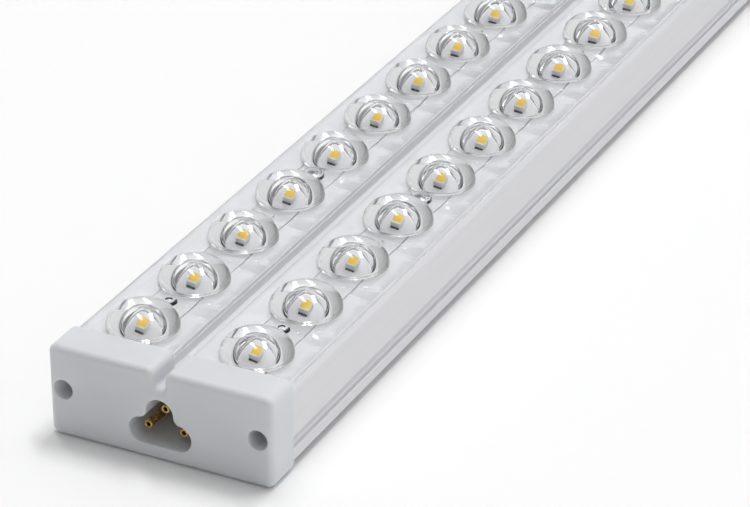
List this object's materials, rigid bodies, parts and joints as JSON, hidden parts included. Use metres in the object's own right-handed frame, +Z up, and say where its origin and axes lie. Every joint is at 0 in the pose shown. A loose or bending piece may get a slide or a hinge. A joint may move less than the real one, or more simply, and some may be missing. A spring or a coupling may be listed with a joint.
{
  "type": "led strip batten",
  "caption": "Linkable LED batten: aluminium extrusion with two rows of clear dome lenses, white end caps, a three-pin cloverleaf inlet, a matching outlet, and its driver and wiring inside.",
  "frame": {"origin": "middle of the footprint, on the plane that the two end caps stand on", "axes": "+X across the width; +Y along the length from the inlet end to the outlet end; +Z up out of the lenses"},
  "size_m": [0.06, 0.59, 0.029],
  "materials": {
    "black_plastic": "moulded",
    "blue_disc": "epoxy coating",
    "board_white": "white solder mask",
    "brass": "plain",
    "bright_steel": "bright",
    "ceramic": "ceramic",
    "clear_polycarbonate": "clear moulded, polished",
    "ferrite": "ferrite",
    "film": "insulating sheet",
    "green_board": "green solder mask",
    "green_terminal": "moulded",
    "satin_aluminium": "satin anodised",
    "sleeve": "printed sleeve without its printing",
    "white_plastic": "fine satin moulded",
    "wire_black": "PVC insulation",
    "wire_blue": "PVC insulation",
    "wire_brown": "PVC insulation",
    "wire_earth": "green and yellow PVC insulation",
    "wire_red": "PVC insulation",
    "yellow": "taped case"
  },
  "bodies": {
    "root": {"extrusion": "satin_aluminium", "lens_strip_right": "clear_polycarbonate", "lens_strip_left": "clear_polycarbonate", "led_board_right": "board_white", "led_board_left": "board_white", "lens_screw_left_1": "bright_steel", "lens_screw_left_2": "bright_steel", "lens_screw_left_3": "bright_steel", "lens_screw_right_1": "bright_steel", "lens_screw_right_2": "bright_steel", "lens_screw_right_3": "bright_steel", "end_cap_inlet": "white_plastic", "end_cap_outlet": "white_plastic", "cap_screw_inlet_left": "bright_steel", "cap_screw_inlet_right": "bright_steel", "cap_screw_outlet_left": "bright_steel", "cap_screw_outlet_right": "bright_steel", "inlet_pin_carrier": "white_plastic", "inlet_pin_live": "brass", "inlet_pin_neutral": "brass", "inlet_pin_earth": "brass", "outlet_contact_block": "white_plastic", "outlet_contact_live": "brass", "outlet_contact_neutral": "brass", "outlet_contact_earth": "brass", "earth_tag": "bright_steel", "driver_tray": "film", "driver_board": "green_board", "input_terminal": "green_terminal", "output_terminal": "white_plastic", "fuse": "ceramic", "varistor": "blue_disc", "mains_capacitor": "yellow", "mains_choke": "ferrite", "bridge_rectifier": "black_plastic", "bulk_capacitor": "sleeve", "controller_chip": "black_plastic", "transformer": "ferrite", "output_diode": "black_plastic", "output_capacitor": "sleeve", "output_choke": "ferrite", "live_lead": "wire_brown", "live_through_wire": "wire_brown", "neutral_lead": "wire_blue", "neutral_through_wire": "wire_blue", "earth_lead": "wire_earth", "earth_through_wire": "wire_earth", "led_lead_left_plus": "wire_red", "led_lead_right_plus": "wire_red", "led_lead_left_minus": "wire_black", "led_lead_right_minus": "wire_black"}
  },
  "joints": []
}
